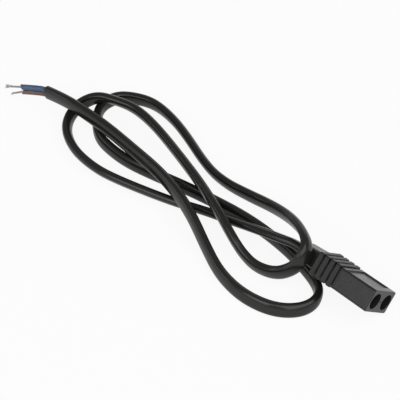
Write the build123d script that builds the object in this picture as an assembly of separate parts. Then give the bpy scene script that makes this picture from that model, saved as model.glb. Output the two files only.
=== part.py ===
# Fan power cable: a flat two-core cord with a moulded two-socket fan connector on one end
# and stripped, bare wires on the other, lying loosely folded on a table.
# Millimetres. +Z is up and the table is Z = 0. +X is the way the connector points.
from build123d import *
from math import pi, radians, tan
import os

os.makedirs("parts", exist_ok=True)

# Connector, in its own frame: +X out of the sockets, +Y across them, X = 0 at the front face
body_width = 16.4
body_height = 8.6
body_rear_height = 8.3
body_length = 15.5
body_corner = 0.8
front_edge = 0.25
socket_pitch = 8.5
socket_diameter = 6.1
socket_depth = 7.5

# Shallow panel sunk in the top face
panel_front = 2.7
panel_length = 11.3
panel_width = 15.2
panel_depth = 0.5
panel_corner = 0.6

# Bending ribs between the body and the neck
rib_count = 4
rib_thickness = 1.75
rib_gap = 0.8
rib_width = 16.4
rib_height = 9.0
rib_corner = 0.7
rib_edge = 0.25
spine_width = 13.2
spine_height = 5.6
spine_corner = 1.6

# Neck that grips the cord
neck_length = 9.3
neck_front_width = 10.8
neck_front_height = 7.1
neck_rear_width = 9.0
neck_rear_height = 6.0
neck_corner = 1.6
neck_edge = 0.9

# Flat cord and its two cores
cord_width = 5.4
cord_thickness = 3.3
cord_grip = 4.0
cord_lead_out = 3.5
core_diameter = 2.0
core_spacing = 2.1
wire_diameter = 1.1

# Contacts for flat tabs, folded from sheet brass and crimped on the wires
sheet = 0.4
contact_width = 4.0
contact_height = 1.9
contact_corner = 0.8
contact_slot = 1.0
contact_length = 6.3
contact_setback = 0.5
pocket_clearance = 0.3
strap_width = 1.2
strap_length = 0.9
crimp_length = 2.6
core_setback = 0.4
core_straight = 2.6
core_spread = 7.2

# Bare end: how far each core runs straight out of the sheath, and its wire beyond it
core_run_out = 3.0
blue_wire_length = 6.4
brown_wire_length = 4.6

# How the connector comes to rest: nose a little down, rolled over towards its right side
nose_down = 1.64
roll = 44.6

# Cord's middle on its way from the neck to the cut end. The three stretches are joined by
# straight runs, in which the cord turns about its middle until its wide side is upright
first_stretch = [
    (-27.0, -1.5, 9.1), (-36.0, -3.0, 8.0), (-48.0, -3.6, 4.8), (-60.0, -5.8, 3.0),
    (-72.0, -9.5, 2.7),
]
middle_stretch = [
    (-96.0, -15.5, 2.7), (-106.0, -16.5, 2.7), (-115.0, -14.5, 2.7), (-123.0, -10.0, 2.7),
    (-127.0, -3.5, 2.7), (-126.5, 2.4, 4.8), (-121.6, 6.0, 8.5), (-115.3, 9.3, 8.9),
    (-107.5, 11.0, 8.6), (-96.5, 10.0, 7.6), (-80.0, 5.0, 7.6), (-65.0, -1.0, 9.0),
    (-51.0, -7.2, 9.6), (-42.1, -10.4, 6.8), (-35.3, -12.3, 3.8), (-28.5, -13.0, 2.7),
    (-20.5, -12.0, 4.4), (-14.4, -10.1, 9.7), (-12.3, -7.6, 14.4), (-13.1, -3.9, 17.2),
    (-17.1, -0.4, 17.2), (-23.6, 3.5, 14.7), (-32.3, 7.8, 9.9), (-42.5, 10.5, 5.2),
    (-53.0, 10.5, 2.8), (-63.0, 9.5, 2.6), (-73.0, 10.7, 2.7),
]
last_stretch = [
    (-91.0, 18.2, 2.7), (-101.0, 20.6, 2.7), (-109.0, 21.0, 2.7), (-116.0, 18.5, 2.7),
    (-121.0, 14.5, 2.7), (-121.5, 7.5, 2.7), (-118.0, 1.0, 2.7), (-112.5, -4.0, 2.7),
    (-106.0, -6.0, 2.7), (-96.5, -6.5, 2.7), (-85.0, -4.5, 2.7), (-73.5, -2.0, 2.7),
    (-61.0, 0.0, 2.7), (-48.0, 1.5, 2.7), (-35.5, 1.5, 2.7), (-23.5, 0.0, 2.7),
    (-14.0, -2.5, 2.7), (-7.5, -5.0, 2.7), (-3.5, -8.0, 2.7), (-2.5, -13.0, 2.7),
    (-4.5, -18.5, 2.7), (-10.0, -23.5, 2.7), (-18.5, -25.5, 2.7), (-27.5, -25.5, 2.7),
    (-37.5, -23.0, 2.7), (-47.0, -18.5, 4.2), (-58.0, -14.0, 7.8), (-68.0, -10.0, 8.6),
    (-80.5, -6.5, 8.5), (-95.0, -4.5, 8.2), (-109.0, -3.0, 8.6), (-120.0, -2.9, 8.9),
    (-129.5, -3.1, 9.0), (-138.6, -2.8, 6.2),
]
turn_share = 0.5
upright = Vector(0, 0, 1)
blue_core_end = (-147.0, -7.5, 6.6)
brown_core_end = (-146.0, -8.0, 4.6)


def across(x, y=0.0):
    """Plane across the connector's axis, at a distance along it."""
    return Plane(origin=(x, y, 0), x_dir=(0, 1, 0), z_dir=(1, 0, 0))


def slab(x_rear, x_front, width, height, corner):
    """Straight stretch of the connector, from one place on its axis to another."""
    return extrude(across(x_rear) * RectangleRounded(width, height, corner), x_front - x_rear)


def tapered(x_rear, rear_size, x_front, front_size, corner):
    """Stretch of the connector that changes size along its axis."""
    rear = across(x_rear) * RectangleRounded(*rear_size, corner)
    front = across(x_front) * RectangleRounded(*front_size, corner)
    return loft([rear, front])


def smooth(points, share=0.45):
    """Straight runs through the points, joined by arcs that take a share of the shorter run."""
    radii = []
    for before, corner, after in zip(points, points[1:], points[2:]):
        run = min((corner - before).length, (after - corner).length)
        turn = (corner - before).get_angle(after - corner)
        radii.append(share * run / tan(radians(turn / 2)))
    print("bend radii", [round(radius, 1) for radius in radii])
    return FilletPolyline(*points, radius=radii)


def rod(path, diameter):
    """Round bar along a path."""
    return sweep(Plane(path @ 0, z_dir=path % 0) * Circle(diameter / 2), path)


def turn_ends(before, after):
    """Ends of the part of a straight run in which the cord turns about its middle."""
    spare = (after - before) * ((1 - turn_share) / 2)
    return [before + spare, after - spare]


def cord_along(path, wide):
    """Cord along a path, its wide side set at the start and carried round the bends."""
    return sweep(Plane(path @ 0, x_dir=wide, z_dir=path % 0) * cord_section, path)


def turned_cord(ends, wide):
    """Straight cord that turns about its middle until its wide side is upright."""
    path = Line(*ends)
    edge = Line(ends[0] + wide * cord_width, ends[1] + upright * cord_width)
    return sweep(Plane(ends[0], x_dir=wide, z_dir=path % 0) * cord_section, path, binormal=edge)


def wide_side(cord, path):
    """Direction of the cord's wide side at the end of its path, upwards."""
    cut = cord.faces().sort_by_distance(path @ 1)[0]
    flat = cut.edges().filter_by(GeomType.LINE)[0] % 0
    return flat if flat.Z > 0 else -flat


# Places along the connector's axis
rib_pitch = rib_thickness + rib_gap
ribs_end = -body_length - rib_count * rib_pitch
neck_end = ribs_end - neck_length
grip_start = neck_end + cord_grip
contact_front = -socket_depth - contact_setback
contact_rear = contact_front - contact_length
crimp_front = contact_rear - strap_length
crimp_rear = crimp_front - crimp_length
core_front = crimp_rear - core_setback

# Moulded body, with its ribs and neck
body_rear_size = (body_width, body_rear_height)
connector_body = tapered(-body_length, body_rear_size, 0, (body_width, body_height), body_corner)
connector_body = fillet(connector_body.faces().sort_by(Axis.X)[-1].edges(), front_edge)
connector_body += slab(ribs_end, -body_length, spine_width, spine_height, spine_corner)
for index in range(rib_count):
    rib_front = -body_length - rib_gap - index * rib_pitch
    rib = slab(rib_front - rib_thickness, rib_front, rib_width, rib_height, rib_corner)
    rim = rib.faces().sort_by(Axis.X)[0].edges() + rib.faces().sort_by(Axis.X)[-1].edges()
    connector_body += fillet(rim, rib_edge)
neck_rear_size = (neck_rear_width, neck_rear_height)
neck_front_size = (neck_front_width, neck_front_height)
neck = tapered(neck_end, neck_rear_size, ribs_end, neck_front_size, neck_corner)
connector_body += fillet(neck.faces().sort_by(Axis.X)[0].edges(), neck_edge)

# The attitude is taken from the whole outside, before anything is cut into it
attitude = Rotation(0, nose_down, 0) * Rotation(-roll, 0, 0)
box = (attitude * connector_body).bounding_box()
rest = Location((-box.center().X, -box.center().Y, -box.min.Z)) * attitude

# Panel in the top face, following that face's slight fall to the rear
top_fall = (body_height - body_rear_height) / 2 / body_length
panel_middle = panel_front + panel_length / 2
panel_plane = Plane(
    origin=(-panel_middle, 0, body_height / 2 - top_fall * panel_middle - panel_depth),
    x_dir=(1, 0, top_fall),
    z_dir=(-top_fall, 0, 1),
)
panel = panel_plane * RectangleRounded(panel_length, panel_width, panel_corner)
connector_body -= extrude(panel, 2 * panel_depth)

# Cord's end, moulded into the neck
cord_section = SlotOverall(cord_width, cord_thickness)
connector_body -= extrude(across(neck_end - 1) * cord_section, cord_grip + 1)

# Each side: socket, pocket with its contact, crimped wire and the core that leads to the cord
for colour, side in (("blue", -1), ("brown", 1)):
    socket_y = side * socket_pitch / 2
    contact_outside = RectangleRounded(contact_width, contact_height, contact_corner)
    contact_inside = RectangleRounded(
        contact_width - 2 * sheet, contact_height - 2 * sheet, contact_corner - sheet
    )
    contact_mouth = Pos(0, contact_height / 2) * Rectangle(contact_slot, contact_height)
    folded = contact_outside - contact_inside - contact_mouth
    crimp_tube = Circle(wire_diameter / 2 + sheet) - Circle(wire_diameter / 2)
    strap = Pos(0, (sheet - contact_height) / 2) * Rectangle(strap_width, sheet)
    contact = extrude(across(contact_rear, socket_y) * folded, contact_length)
    contact += extrude(across(crimp_rear, socket_y) * crimp_tube, crimp_length)
    strap_overlap = crimp_length / 2
    strap_reach = strap_length + 2 * strap_overlap
    contact += extrude(across(crimp_front - strap_overlap, socket_y) * strap, strap_reach)
    wire = extrude(across(core_front, socket_y) * Circle(wire_diameter / 2), crimp_front - core_front)
    contact -= wire

    core_y = side * core_spacing / 2
    spread_start = grip_start + core_straight
    core_path = smooth([
        Vector(grip_start, core_y, 0),
        Vector(spread_start, core_y, 0),
        Vector(spread_start + core_spread, socket_y, 0),
        Vector(core_front, socket_y, 0),
    ])
    lead = rod(core_path, core_diameter)

    socket = extrude(across(-socket_depth, socket_y) * Circle(socket_diameter / 2), socket_depth + 1)
    pocket_rear = contact_rear - pocket_clearance
    pocket_section = RectangleRounded(
        contact_width + 2 * pocket_clearance,
        contact_height + 2 * pocket_clearance,
        contact_corner + pocket_clearance,
    )
    pocket = extrude(across(pocket_rear, socket_y) * pocket_section, -socket_depth - pocket_rear)
    connector_body -= socket + pocket
    connector_body -= contact
    connector_body -= wire
    connector_body -= lead

    export_step(rest * contact, f"parts/{colour}_contact.step")
    export_step(rest * wire, f"parts/{colour}_crimped_wire.step")
    export_step(rest * lead, f"parts/{colour}_lead.step")

export_step(rest * connector_body, "parts/connector_body.step")

# Sheath: straight out of the neck, then along the three stretches
stand = Plane(rest)
first_points = [stand.from_local_coords((x, 0, 0)) for x in (grip_start, neck_end - cord_lead_out)]
first_points += [Vector(*point) for point in first_stretch]
middle_points = [Vector(*point) for point in middle_stretch]
last_points = [Vector(*point) for point in last_stretch]
first_turn = turn_ends(first_points[-1], middle_points[0])
second_turn = turn_ends(middle_points[-1], last_points[0])
first_path = smooth(first_points + first_turn[:1])
middle_path = smooth(first_turn[1:] + middle_points + second_turn[:1])
last_path = smooth(second_turn[1:] + last_points)
first_cord = cord_along(first_path, -stand.y_dir)
middle_cord = cord_along(middle_path, upright)
last_cord = cord_along(last_path, upright)
cable_sheath = first_cord + turned_cord(first_turn, wide_side(first_cord, first_path)) + middle_cord
cable_sheath += turned_cord(second_turn, wide_side(middle_cord, middle_path))
cable_sheath += last_cord
export_step(cable_sheath, "parts/cable_sheath.step")

turns_length = (first_turn[1] - first_turn[0]).length + (second_turn[1] - second_turn[0]).length
cord_length = first_path.length + middle_path.length + last_path.length + turns_length
section_area = (cord_width - cord_thickness) * cord_thickness + pi * cord_thickness**2 / 4
print("cord length", round(cord_length, 1), "volume", round(cable_sheath.volume, 1))
print("section times length", round(section_area * cord_length, 1))

# Bare end: the cores leave the sheath one above the other, each with its wire beyond it
heading = last_path % 1
above = wide_side(last_cord, last_path)
for colour, place, end, wire_length in (
    ("blue", core_spacing / 2, blue_core_end, blue_wire_length),
    ("brown", -core_spacing / 2, brown_core_end, brown_wire_length),
):
    core_start = last_points[-1] + above * place
    core_path = smooth([core_start, core_start + heading * core_run_out, Vector(*end)], 0.9)
    wire_path = Line(core_path @ 1, core_path @ 1 + (core_path % 1) * wire_length)
    export_step(rod(core_path, core_diameter), f"parts/{colour}_core_end.step")
    export_step(rod(wire_path, wire_diameter), f"parts/{colour}_bare_wire.step")
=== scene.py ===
from math import copysign, cos, pi, radians, sin
import bmesh
import bpy
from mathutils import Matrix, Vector, noise


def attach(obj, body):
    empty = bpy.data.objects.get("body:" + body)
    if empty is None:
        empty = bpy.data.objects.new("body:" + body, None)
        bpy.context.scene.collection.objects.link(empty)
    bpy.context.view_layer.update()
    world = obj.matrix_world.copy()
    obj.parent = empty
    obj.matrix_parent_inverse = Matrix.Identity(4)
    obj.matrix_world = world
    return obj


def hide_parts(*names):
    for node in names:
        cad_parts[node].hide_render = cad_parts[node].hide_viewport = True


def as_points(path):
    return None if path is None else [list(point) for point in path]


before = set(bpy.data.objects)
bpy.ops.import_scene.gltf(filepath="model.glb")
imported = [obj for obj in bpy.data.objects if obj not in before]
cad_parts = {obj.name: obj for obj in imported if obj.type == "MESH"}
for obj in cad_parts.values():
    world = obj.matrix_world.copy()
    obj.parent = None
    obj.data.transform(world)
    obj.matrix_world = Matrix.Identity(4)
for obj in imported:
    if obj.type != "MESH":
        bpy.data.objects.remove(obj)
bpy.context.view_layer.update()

print("frame loaded with", len(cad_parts), "CAD pieces")

upright = Vector((0, 0, 1))
fullTurn = 2 * pi


class Wire:  # one output of a node, so that shader maths reads as plain sums
    def __init__(self, finish, socket):
        self.finish = finish
        self.socket = socket

    def calc(self, operation, first, second):
        return self.finish.add("ShaderNodeMath", {"operation": operation}, {0: first, 1: second})

    def __add__(self, other):
        return self.calc("ADD", self, other)

    def __sub__(self, other):
        return self.calc("SUBTRACT", self, other)

    def __rsub__(self, other):
        return self.calc("SUBTRACT", other, self)

    def __mul__(self, other):
        return self.calc("MULTIPLY", self, other)

    __radd__ = __add__
    __rmul__ = __mul__


class Finish:  # the nodes of a material, or of the world
    def __init__(self, owner):
        self.owner = owner
        owner.use_nodes = True
        self.tree = owner.node_tree
        self.tree.nodes.clear()

    def add(self, kind, settings=None, inputs=None, out=0):
        node = self.tree.nodes.new(kind)
        for key, value in (settings or {}).items():
            setattr(node, key, value)
        for key, value in (inputs or {}).items():
            if isinstance(value, Wire):
                self.tree.links.new(value.socket, node.inputs[key])
            else:
                node.inputs[key].default_value = value
        return Wire(self, node.outputs[out]) if node.outputs else None

    def place(self):
        return self.add("ShaderNodeTexCoord", out="Object")

    def skin(self):  # offsets within a cord's section, and the way run along it
        return self.add("ShaderNodeAttribute", {"attribute_name": "skin"}, out="Vector")

    def along(self, vector, way):  # how far a vector goes in a unit direction
        return self.add("ShaderNodeVectorMath", {"operation": "DOT_PRODUCT"}, {0: vector, 1: way}, "Value")

    def reach(self, vector, start, way):  # how far a place lies from a start, in a unit direction
        return self.along(vector, way) - Vector(start).dot(Vector(way))

    def grain(self, vector, scale, detail, run=1):  # noise, and a run below 1 draws it out along a cord
        if run != 1:
            vector = self.add("ShaderNodeVectorMath", {"operation": "MULTIPLY"}, {0: vector, 1: (1, 1, run)})
        return self.add("ShaderNodeTexNoise", None, {"Vector": vector, "Scale": scale, "Detail": detail})

    def sway(self, grain, amount):  # noise that goes up and down around 0
        return (grain - 0.5) * amount

    def band(self, value, low, high):  # 0 below low, 1 above high
        return self.add("ShaderNodeMapRange", None, {"Value": value, "From Min": low, "From Max": high})

    def within(self, value, low, high, soft):  # 1 between low and high
        return self.band(value, low - soft, low) * (1 - self.band(value, high, high + soft))

    def tint(self, factor, first, second):  # from one colour to another
        first, second = (shade if isinstance(shade, Wire) else (*shade, 1) for shade in (first, second))
        return self.add("ShaderNodeMix", {"data_type": "RGBA"}, {0: factor, 6: first, 7: second}, 2)

    def bump(self, height, distance):
        return self.add("ShaderNodeBump", None, {"Height": height, "Distance": distance})

    def close(self, inputs):
        shader = self.add("ShaderNodeBsdfPrincipled", None, inputs)
        self.add("ShaderNodeOutputMaterial", None, {"Surface": shader})
        return self.owner


def newFinish(name):
    return Finish(bpy.data.materials.new(name))


# smooth line that a NURBS spline draws along its control points
def splineLine(points, steps):
    curve = bpy.data.curves.new("line", "CURVE")
    curve.dimensions = "3D"
    spline = curve.splines.new("NURBS")
    spline.points.add(len(points) - 1)
    for knot, place in zip(spline.points, points):
        knot.co = (*place, 1)
    spline.order_u = 3
    spline.use_endpoint_u = True
    spline.resolution_u = steps
    holder = bpy.data.objects.new("line", curve)
    mesh = bpy.data.meshes.new_from_object(holder)
    line = [vertex.co.copy() for vertex in mesh.vertices]
    bpy.data.objects.remove(holder)
    bpy.data.curves.remove(curve)
    bpy.data.meshes.remove(mesh)
    return line


# direction of travel at each point of a line
def headings(line):
    last = len(line) - 1
    return [(line[min(i + 1, last)] - line[max(i - 1, 0)]).normalized() for i in range(last + 1)]


# part of upright that is square to a direction
def squareUp(ahead):
    return (upright - ahead * ahead.z).normalized()


# round section, as offsets along its wide side and across it
def roundOutline(diameter, corners):
    turns = [fullTurn * j / corners for j in range(corners)]
    return [(cos(turn) * diameter / 2, sin(turn) * diameter / 2) for turn in turns]


# flat cord's section, where an oval of 1 is an ellipse and 0 a rectangle
def flatOutline(width, thickness, oval, corners):
    outline = []
    for j in range(corners):
        turn = fullTurn * (j + 0.5) / corners
        a = copysign(abs(cos(turn)) ** oval, cos(turn)) * width / 2
        b = copysign(abs(sin(turn)) ** oval, sin(turn)) * thickness / 2
        outline.append((a, b))
    return outline


# skin of a cord: wides has the wide side's direction at each point of the line,
# and slopes says how steeply the section leans ahead along that side
def addSkin(mesh, line, wides, outline, slopes):
    skin = mesh.verts.layers.float_vector.get("skin") or mesh.verts.layers.float_vector.new("skin")
    run = 0.0
    before = line[0]
    rings = []
    for place, ahead, guide, slope in zip(line, headings(line), wides, slopes):
        run += (place - before).length
        before = place
        wide = (guide - ahead * guide.dot(ahead)).normalized()
        thin = ahead.cross(wide)
        ring = []
        for a, b in outline:
            vertex = mesh.verts.new(place + wide * a + thin * b + ahead * (slope * a))
            vertex[skin] = (a, b, run)
            ring.append(vertex)
        rings.append(ring)
    corners = len(outline)
    for near, far in zip(rings, rings[1:]):
        for j in range(corners):
            follow = (j + 1) % corners
            mesh.faces.new((near[j], near[follow], far[follow], far[j]))
    for ring in (reversed(rings[0]), rings[-1]):
        for edge in mesh.faces.new(ring).edges:
            edge.smooth = False     # cut ends stay crisp


def newPiece(name, mesh, material):
    bmesh.ops.recalc_face_normals(mesh, faces=mesh.faces)
    for face in mesh.faces:
        face.smooth = len(face.verts) <= 4
    data = bpy.data.meshes.new(name)
    mesh.to_mesh(data)
    mesh.free()
    data.materials.append(material)
    piece = bpy.data.objects.new(name, data)
    bpy.context.scene.collection.objects.link(piece)
    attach(piece, "root")
    return piece


# a grain is a noise's scale and detail, and a share of the run along the cord, which draws it out
cord = {
    "width": 0.0054,
    "thickness": 0.0033,
    "oval": 0.8,
    "corners": 44,
    "steps": 10,                        # points on the line for each point of the route
    "length": 0.660,
    "black": (0.0105, 0.0105, 0.0096),
    "scuffed": (0.026, 0.026, 0.024),
    "drawnGrain": (1900, 3, 0.03),      # lines left by the extruder
    "fineGrain": (5200, 2),
    "cloudGrain": (120, 3),
    "rubGrain": (900, 4, 0.12),
    "rubBand": (0.6, 0.75),             # noise levels where a rubbed patch starts and is whole
    "cloudBand": (0.45, 0.7),           # the same, for the cloudy areas that have such patches
    "wornShade": 0.7,
    "cloudShade": 0.15,
    "roughness": 0.20,
    "cloudRoughness": 0.16,
    "wornRoughness": 0.14,
    "specular": 0.42,
    "drawnRelief": 0.7,
    "fineRelief": 0.3,
    "relief": 0.000012,
}

# route in metres, and how far the wide side leans over from upright, in degrees
route = [
    (-0.0136, 0, 0.00936, -45), (-0.0211, 0, 0.00958, -45), (-0.027, -0.0013, 0.0091, -45),
    (-0.036, -0.0027, 0.008, -46), (-0.048, -0.0036, 0.0048, -46), (-0.0601, -0.0055, 0.003, -45),
    (-0.0719, -0.0098, 0.0027, -37), (-0.096, -0.0157, 0.0027, -33), (-0.106, -0.016, 0.0027, -31),
    (-0.115, -0.0144, 0.0027, -22), (-0.1229, -0.0099, 0.0027, -18), (-0.1271, -0.0035, 0.0027, -9),
    (-0.1268, 0.0026, 0.0048, -5), (-0.1219, 0.0066, 0.0087, 16), (-0.1153, 0.0093, 0.0089, 34),
    (-0.1075, 0.0112, 0.0086, 20), (-0.0965, 0.01, 0.0076, 19), (-0.08, 0.0048, 0.0076, 13),
    (-0.065, -0.001, 0.009, 8), (-0.051, -0.0072, 0.0096, 8), (-0.0421, -0.0106, 0.0068, 12),
    (-0.0353, -0.0122, 0.0038, 11), (-0.0285, -0.0129, 0.0027, 9), (-0.0205, -0.0118, 0.0044, 2),
    (-0.0146, -0.0098, 0.0097, 0), (-0.0124, -0.0076, 0.0144, -21), (-0.0131, -0.0039, 0.0172, -29),
    (-0.017, -0.0003, 0.0172, -26), (-0.0235, 0.0036, 0.0147, -12), (-0.0323, 0.0078, 0.0099, -9),
    (-0.0425, 0.0106, 0.0052, -8), (-0.053, 0.0107, 0.0028, -8), (-0.063, 0.0097, 0.0026, -18),
    (-0.0729, 0.011, 0.0027, -23), (-0.0909, 0.0184, 0.0027, -23), (-0.1009, 0.021, 0.0027, -20),
    (-0.1091, 0.0214, 0.0027, -12), (-0.116, 0.0185, 0.0027, -4), (-0.1208, 0.0144, 0.0027, 2),
    (-0.122, 0.0074, 0.0027, 8), (-0.118, 0.0009, 0.0027, 6), (-0.1125, -0.0039, 0.0027, -4),
    (-0.1059, -0.0056, 0.0027, -6), (-0.0965, -0.0061, 0.0027, -4), (-0.0851, -0.0042, 0.0027, -4),
    (-0.0735, -0.0017, 0.0027, -4), (-0.061, 0.0003, 0.0027, -3), (-0.048, 0.0018, 0.0027, -4),
    (-0.0355, 0.0017, 0.0027, -5), (-0.0235, 0.0002, 0.0027, -7), (-0.0139, -0.0023, 0.0027, -10),
    (-0.0074, -0.0048, 0.0027, -12), (-0.0036, -0.008, 0.0027, -6), (-0.0024, -0.013, 0.0027, 8),
    (-0.0046, -0.0184, 0.0027, 24), (-0.0103, -0.0231, 0.0027, 28), (-0.0185, -0.0255, 0.0027, 25),
    (-0.0275, -0.0256, 0.0027, 18), (-0.0375, -0.0231, 0.0027, 12), (-0.0471, -0.0187, 0.0042, 10),
    (-0.0579, -0.0138, 0.0078, 9), (-0.0679, -0.0098, 0.0086, 10), (-0.0804, -0.0062, 0.0085, 9),
    (-0.095, -0.0043, 0.0082, 11), (-0.109, -0.0029, 0.0086, 9), (-0.12, -0.0028, 0.0089, 4),
    (-0.1295, -0.003, 0.009, 0), (-0.1386, -0.0026, 0.0062, 0),
]


def cordMaterial():
    made = newFinish("sheathVinyl")
    skin = made.skin()
    drawn = made.grain(skin, *cord["drawnGrain"])
    fine = made.grain(skin, *cord["fineGrain"])
    cloudy = made.grain(made.place(), *cord["cloudGrain"])
    rubbed = made.band(made.grain(skin, *cord["rubGrain"]), *cord["rubBand"])
    worn = rubbed * made.band(cloudy, *cord["cloudBand"])
    shade = worn * cord["wornShade"] + cloudy * cord["cloudShade"]
    unevenness = made.sway(cloudy, cord["cloudRoughness"]) + worn * cord["wornRoughness"]
    return made.close({
        "Base Color": made.tint(shade, cord["black"], cord["scuffed"]),
        "Roughness": cord["roughness"] + unevenness,
        "Specular IOR Level": cord["specular"],
        "Normal": made.bump(drawn * cord["drawnRelief"] + fine * cord["fineRelief"], cord["relief"]),
    })


def buildCord():
    places = [Vector(point[:3]) for point in route]
    guides = []     # a second line, beside the first on its wide side
    for place, ahead, point in zip(places, headings(places), route):
        up = squareUp(ahead)
        side = ahead.cross(up)
        lean = radians(point[3])
        guides.append(place + (up * cos(lean) + side * sin(lean)) * cord["width"])
    line = splineLine(places, cord["steps"])
    wides = [guide - place for guide, place in zip(splineLine(guides, cord["steps"]), line)]
    outline = flatOutline(cord["width"], cord["thickness"], cord["oval"], cord["corners"])
    mesh = bmesh.new()
    addSkin(mesh, line, wides, outline, [0] * len(line))
    piece = newPiece("cordSheath", mesh, cordMaterial())
    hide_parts("cable_sheath")
    print("cord line of", len(line), "points")
    return piece, line


cordSheath, cordLine = buildCord()

# the two cores at the bare end
cores = {
    "blue": {
        "route": [(-0.1380, -0.00282, 0.00748), (-0.138909, -0.002802, 0.007204),
                  (-0.141775, -0.002708, 0.006322), (-0.14725, -0.00722, 0.0066)],
        "cutLean": 0.0005,              # how far the cut end leads at its top
        "strandLength": 0.0064,
        "droop": 0.0,
        "fork": 0.8,                    # share of the fray by which the ends part, up and down
        "colour": (0.035, 0.077, 0.157),
        "pale": (0.060, 0.112, 0.205),
    },
    "brown": {
        "route": [(-0.1374, -0.00282, 0.00548), (-0.138291, -0.002798, 0.005196),
                  (-0.141157, -0.002703, 0.004314), (-0.1467, -0.0072, 0.0046)],
        "cutLean": -0.0004,
        "strandLength": 0.0046,
        "droop": 0.0016,
        "fork": 0.0,
        "colour": (0.098, 0.053, 0.041),
        "pale": (0.155, 0.102, 0.086),
    },
    "diameter": 0.0020,
    "corners": 24,
    "steps": 12,
    "cutRings": 6,                      # rings over which the cut's lean sets in
    "drawnGrain": (2600, 3, 0.05),
    "cloudGrain": (700, 3),
    "paleBand": (0.3, 0.8),
    "roughness": 0.36,
    "cloudRoughness": 0.2,
    "relief": 0.00003,
}


def coreMaterial(colour):
    made = newFinish(colour + "Vinyl")
    skin = made.skin()
    drawn = made.grain(skin, *cores["drawnGrain"])
    cloudy = made.grain(skin, *cores["cloudGrain"])
    pale = made.band(cloudy, *cores["paleBand"])
    return made.close({
        "Base Color": made.tint(pale, cores[colour]["colour"], cores[colour]["pale"]),
        "Roughness": cores["roughness"] + made.sway(cloudy, cores["cloudRoughness"]),
        "Normal": made.bump(drawn, cores["relief"]),
    })


def buildCore(colour):
    values = cores[colour]
    line = splineLine(values["route"], cores["steps"])
    steepest = values["cutLean"] / (cores["diameter"] / 2)
    toGo = reversed(range(len(line)))
    slopes = [steepest * max(0, 1 - rings / cores["cutRings"]) for rings in toGo]
    outline = roundOutline(cores["diameter"], cores["corners"])
    mesh = bmesh.new()
    addSkin(mesh, line, [upright] * len(line), outline, slopes)
    piece = newPiece(colour + "Core", mesh, coreMaterial(colour))
    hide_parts(colour + "_core_end")
    return piece, line


# the twisted wires in both cores
strands = {
    "rings": ((9, 1.0), (4, 0.5), (1, 0.0)),    # strands in each ring, and its share of the radius
    "bundle": 0.00084,                  # across the whole twist
    "diameter": 0.00017,
    "corners": 7,
    "cornerTilt": 0.3,
    "turnEvery": 0.0085,
    "hidden": 0.0008,                   # length inside the core
    "uneven": 0.1,                      # share of its length by which a strand differs
    "seed": 2,                          # draws the loose ends the same way in each run
    "lengthNoise": (1.7, 2.2),          # step through the noise for each strand, and its level
    "wanderNoise": (7.3, 3.1, 0.5),     # steps for each core and each strand, and the level
    "knots": 9,
    "steps": 5,
    "waist": 0.12,                      # share by which the twist narrows half way
    "frayFrom": 0.45,                   # share of the way where the ends come loose
    "fray": 0.00165,                    # grows with the square of the way from there
    "droopFrom": 0.12,
    "tin": (0.42, 0.41, 0.40),
    "copper": (0.60, 0.33, 0.20),
    "patchGrain": (2500, 3, 0.5),
    "thinBand": (0.62, 0.75),           # where copper shows through the tin
    "thinShade": 0.6,
    "roughness": 0.28,
    "patchRoughness": 0.2,
}


def strandMaterial():
    made = newFinish("tinnedStrand")
    patchy = made.grain(made.skin(), *strands["patchGrain"])
    thinTin = made.band(patchy, *strands["thinBand"])
    return made.close({
        "Base Color": made.tint(thinTin * strands["thinShade"], strands["tin"], strands["copper"]),
        "Metallic": 1.0,
        "Roughness": strands["roughness"] + patchy * strands["patchRoughness"],
    })


def buildStrands(colour, coreLine, material, coreNumber):
    values = cores[colour]
    ahead = (coreLine[-1] - coreLine[-2]).normalized()
    up = squareUp(ahead)
    side = ahead.cross(up)
    start = coreLine[-1] - ahead * strands["hidden"]
    twist = fullTurn * values["strandLength"] / strands["turnEvery"]
    lengthStep, lengthLevel = strands["lengthNoise"]
    coreStep, strandStep, wanderLevel = strands["wanderNoise"]
    outline = roundOutline(strands["diameter"], strands["corners"])
    ringOfEach = [ring for ring in strands["rings"] for place in range(ring[0])]
    noise.seed_set(strands["seed"])
    mesh = bmesh.new()
    for n, (ringCount, ringShare) in enumerate(ringOfEach):
        first = fullTurn * n / ringCount
        radius = (strands["bundle"] - strands["diameter"]) / 2 * ringShare
        wander = noise.noise_vector(Vector((coreNumber * coreStep, n * strandStep, wanderLevel)))
        change = noise.noise(Vector((n * lengthStep, coreNumber, lengthLevel))) - 1
        length = (values["strandLength"] + strands["hidden"]) * (1 + strands["uneven"] * change)
        knots = []
        for k in range(strands["knots"]):
            share = k / (strands["knots"] - 1)
            turn = first + twist * share
            spread = radius * (1 - strands["waist"] * sin(pi * share))
            loose = strands["fray"] * max(0, share - strands["frayFrom"]) ** 2
            fork = up * values["fork"] * (1 if n % 2 else -1)
            offset = (up * cos(turn) + side * sin(turn)) * spread + (wander + fork) * loose
            offset.z -= values["droop"] * max(0, share - strands["droopFrom"])
            knots.append(start + ahead * length * share + offset)
        line = splineLine(knots, strands["steps"])
        wides = [up + side * strands["cornerTilt"]] * len(line)
        addSkin(mesh, line, wides, outline, [0] * len(line))
    piece = newPiece(colour + "Strands", mesh, material)
    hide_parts(colour + "_bare_wire")
    return piece


bareEnd = []
strandFinish = strandMaterial()
for coreNumber, colour in enumerate(("blue", "brown"), 1):
    corePiece, coreLine = buildCore(colour)
    bareEnd += [corePiece, buildStrands(colour, coreLine, strandFinish, coreNumber)]
print("bare end of", len(bareEnd), "pieces")

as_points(cordLine)

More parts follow.
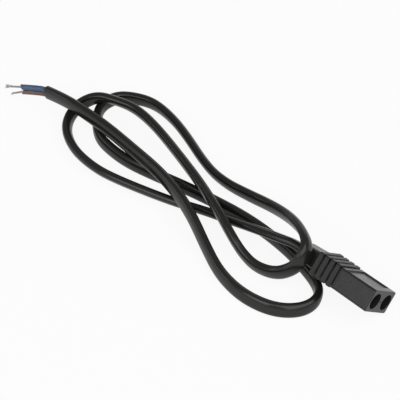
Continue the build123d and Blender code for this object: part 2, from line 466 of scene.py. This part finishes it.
# the CAD moulding, contacts and inner cores keep their shape and get a finish
# distances in the moulding run from the gate, along its three directions
connector = {
    "gate": (0.01743, 0.0, 0.008476),       # moulding point between the two sockets
    "back": (-0.99959, 0.0, 0.0287),        # from the nose to the neck
    "across": (-0.0203, 0.7073, -0.7067),   # from the sockets' middle to the far side
    "up": (0.0203, 0.7071, 0.7068),         # square to the panel
    "gateRim": (0.00033, 0.00055),
    "firstGroove": 0.0159,                  # its middle
    "groovePitch": 0.00255,
    "ribSpan": (-0.5, 3.84),                # from the first groove's middle, in pitches
    "ribEdge": 0.01,
    "grooveBand": (0.45, 0.55),             # on a wave that is 1 at a groove's middle
    "grooveTop": (0.0030, 0.0036),          # height over which the painted light ends
    "panelSpan": (0.0027, 0.0140),          # sunk panel, from front to rear
    "panelSides": (-0.0076, 0.0076),
    "panelEdge": 0.0001,
    "rearWall": (0.0138, 0.01405),          # strips of painted light at the panel's walls
    "farWall": (0.00745, 0.00765),
    "wallEdge": 0.00003,
    "wallFoot": (0.0035, 0.0036),
    "black": (0.0135, 0.0135, 0.0130),
    "greyed": (0.028, 0.028, 0.027),
    "paintedLight": (0.058, 0.058, 0.057),          # painted light, a lighter grey that lifts the shade in the grooves and along the panel's walls
    "sparkGrain": (6500, 2),                # fine texture of the mould
    "cloudGrain": (260, 4),
    "rubGrain": (1400, 5),
    "rubBand": (0.58, 0.75),
    "rubShade": 0.35,
    "cloudShade": 0.3,
    "roughness": 0.20,
    "cloudRoughness": 0.18,
    "sparkRoughness": 0.06,
    "gateRoughness": 0.4,
    "ribRoughness": 0.18,
    "specular": 0.35,
    "sparkRelief": 0.25,
    "cloudRelief": 0.2,
    "gateRelief": 3,                        # downwards
    "relief": 0.00005,
}


# where the ribs are, and the painted light that lifts the shade in their grooves and at the panel's walls
def ribsAndPaintedLight(made, place):
    ways = [connector[way] for way in ("back", "across", "up")]
    back, across, up = (made.reach(place, connector["gate"], way) for way in ways)
    pitches = (back - connector["firstGroove"]) * (1 / connector["groovePitch"])
    wave = made.add("ShaderNodeMath", {"operation": "COSINE"}, {0: pitches * fullTurn})
    ribs = made.within(pitches, *connector["ribSpan"], connector["ribEdge"])
    # painted light in the grooves, which lifts their shade
    groove = made.band(wave, *connector["grooveBand"]) * ribs * (1 - made.band(up, *connector["grooveTop"]))
    rear = made.within(back, *connector["rearWall"], connector["wallEdge"])
    rear = rear * made.within(across, *connector["panelSides"], connector["panelEdge"])
    far = made.within(across, *connector["farWall"], connector["wallEdge"])
    far = far * made.within(back, *connector["panelSpan"], connector["panelEdge"])
    # painted light on the panel's rear and far walls, which lifts their shade
    walls = (rear + far) * made.band(up, *connector["wallFoot"])
    return ribs, made.band(groove + walls, 0, 1)    # no more than 1 where they meet


def mouldingMaterial():
    made = newFinish("mouldedVinyl")
    place = made.place()
    spark = made.grain(place, *connector["sparkGrain"])
    cloudy = made.grain(place, *connector["cloudGrain"])
    rubbed = made.band(made.grain(place, *connector["rubGrain"]), *connector["rubBand"])
    toGate = {0: place, 1: connector["gate"]}
    away = made.add("ShaderNodeVectorMath", {"operation": "DISTANCE"}, toGate, "Value")
    gate = 1 - made.band(away, *connector["gateRim"])
    ribs, paintedLightMask = ribsAndPaintedLight(made, place)
    wear = rubbed * connector["rubShade"] + cloudy * connector["cloudShade"]
    worn = made.tint(wear, connector["black"], connector["greyed"])
    unevenness = made.sway(cloudy, connector["cloudRoughness"]) + spark * connector["sparkRoughness"]
    unevenness = unevenness + gate * connector["gateRoughness"] + ribs * connector["ribRoughness"]
    height = spark * connector["sparkRelief"] + cloudy * connector["cloudRelief"]
    height = height - gate * connector["gateRelief"]
    return made.close({
        # the painted light lightens the base colour in the grooves and at the panel's walls, where shade
        # falls
        "Base Color": made.tint(paintedLightMask, worn, connector["paintedLight"]),
        "Roughness": connector["roughness"] + unevenness,
        "Specular IOR Level": connector["specular"],
        "Normal": made.bump(height, connector["relief"]),
    })


contacts = {
    "brass": (0.62, 0.45, 0.20),
    "dulled": (0.30, 0.22, 0.12),
    "cloudGrain": (900, 4),
    "dullBand": (0.35, 0.7),
    "roughness": 0.3,
    "cloudRoughness": 0.25,
}


def contactMaterial():
    made = newFinish("sheetBrass")
    cloudy = made.grain(made.place(), *contacts["cloudGrain"])
    dull = made.band(cloudy, *contacts["dullBand"])
    return made.close({
        "Base Color": made.tint(dull, contacts["brass"], contacts["dulled"]),
        "Metallic": 1.0,
        "Roughness": contacts["roughness"] + cloudy * contacts["cloudRoughness"],
    })


def paint(node, material):
    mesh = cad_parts[node].data
    mesh.materials.clear()
    mesh.materials.append(material)


paint("connector_body", mouldingMaterial())
brass = contactMaterial()
for colour in ("blue", "brown"):
    paint(colour + "_contact", brass)
    paint(colour + "_crimped_wire", strandFinish)
    paint(colour + "_lead", bpy.data.materials[colour + "Vinyl"])
print("connector finished")

# floor, light and camera
studio = {
    "floor": (0.90, 0.90, 0.90),
    "floorSize": 6.0,
    "floorDrop": 0.00002,               # keeps it clear of what lies on it
    "floorWhite": (0.90, 0.42),         # share of plain white that the camera and reflections see in it
    "sky": 0.30,
    "glows": [                          # low white walls, with the levels where each fades in and out
        {"towards": (0.120, -0.992, 0.0), "strength": 0.80,     # on the camera's left, without a foot
         "sides": (0.2, 0.9), "foot": (-2, -1), "top": (0.0, 0.45)},
        {"towards": (-0.529, 0.849, 0.0), "strength": 1.20,     # behind
         "sides": (0.8, 0.97), "foot": (0.1, 0.25), "top": (0.4, 0.7)},
    ],
    "lamps": [                          # direction from the object, distance, size, watts
        ((0.611, -0.199, 0.766), 2.0, (2.6, 2.2), 30.0),
        ((-0.100, -0.759, 0.643), 1.1, (0.5, 0.6), 2.2),
        ((-0.751, -0.564, 0.342), 1.1, (0.5, 0.15), 0.5),
    ],
    "aim": (-0.06, 0.0, 0.0),
    "lens": 389.07,                     # millimetres, as the sensor
    "sensor": 36,
    "sight": 20,                        # metres that the camera sees
    "cameraPlace": (0.62344, -0.76917, 1.14672),
    "cameraTurn": (42, 0, 41.9),        # degrees
}


def buildFloor():
    bpy.ops.mesh.primitive_plane_add(size=studio["floorSize"], location=(0, 0, -studio["floorDrop"]))
    floor = bpy.context.object
    floor.name = "floor"
    made = newFinish("floorPaper")
    rays = ("Is Camera Ray", "Is Glossy Ray", "Is Transmission Ray")
    seen, mirrored, through = (made.add("ShaderNodeLightPath", out=ray) for ray in rays)
    paper = made.add("ShaderNodeBsdfDiffuse", None, {"Color": (*studio["floor"], 1)})
    white = made.add("ShaderNodeEmission", None, {"Strength": 1.0})
    toCamera, toGloss = studio["floorWhite"]
    share = seen * toCamera + (mirrored + through) * toGloss
    both = made.add("ShaderNodeMixShader", None, {0: share, 1: paper, 2: white})
    made.add("ShaderNodeOutputMaterial", None, {"Surface": both})
    floor.data.materials.append(made.owner)


def buildSky():
    world = bpy.data.worlds.new("studio")
    bpy.context.scene.world = world
    sky = Finish(world)
    view = sky.add("ShaderNodeTexCoord", out="Generated")
    height = sky.along(view, upright)
    level = studio["sky"]
    for glow in studio["glows"]:
        sides = sky.band(sky.along(view, glow["towards"]), *glow["sides"])
        wall = sides * sky.band(height, *glow["foot"]) * (1 - sky.band(height, *glow["top"]))
        level = level + wall * glow["strength"]
    white = sky.add("ShaderNodeBackground", None, {"Color": (1, 1, 1, 1), "Strength": level})
    sky.add("ShaderNodeOutputWorld", None, {"Surface": white})


def buildLamps():
    for n, (direction, distance, size, watts) in enumerate(studio["lamps"]):
        data = bpy.data.lights.new("softbox" + str(n), "AREA")
        data.shape = "RECTANGLE"
        data.size, data.size_y = size
        data.energy = watts
        lamp = bpy.data.objects.new("softbox" + str(n), data)
        away = Vector(direction).normalized()
        lamp.location = Vector(studio["aim"]) + away * distance
        lamp.rotation_euler = (-away).to_track_quat("-Z", "Y").to_euler()
        bpy.context.scene.collection.objects.link(lamp)


def buildCamera():
    data = bpy.data.cameras.new("camera")
    data.lens = studio["lens"]
    data.sensor_width = studio["sensor"]
    data.clip_end = studio["sight"]
    camera = bpy.data.objects.new("camera", data)
    camera.location = studio["cameraPlace"]
    camera.rotation_euler = [radians(turn) for turn in studio["cameraTurn"]]
    bpy.context.scene.collection.objects.link(camera)
    bpy.context.scene.camera = camera


buildFloor()
buildSky()
buildLamps()
buildCamera()
bpy.context.scene.view_settings.view_transform = "Standard"
print("studio ready")

bpy.context.view_layer.update()
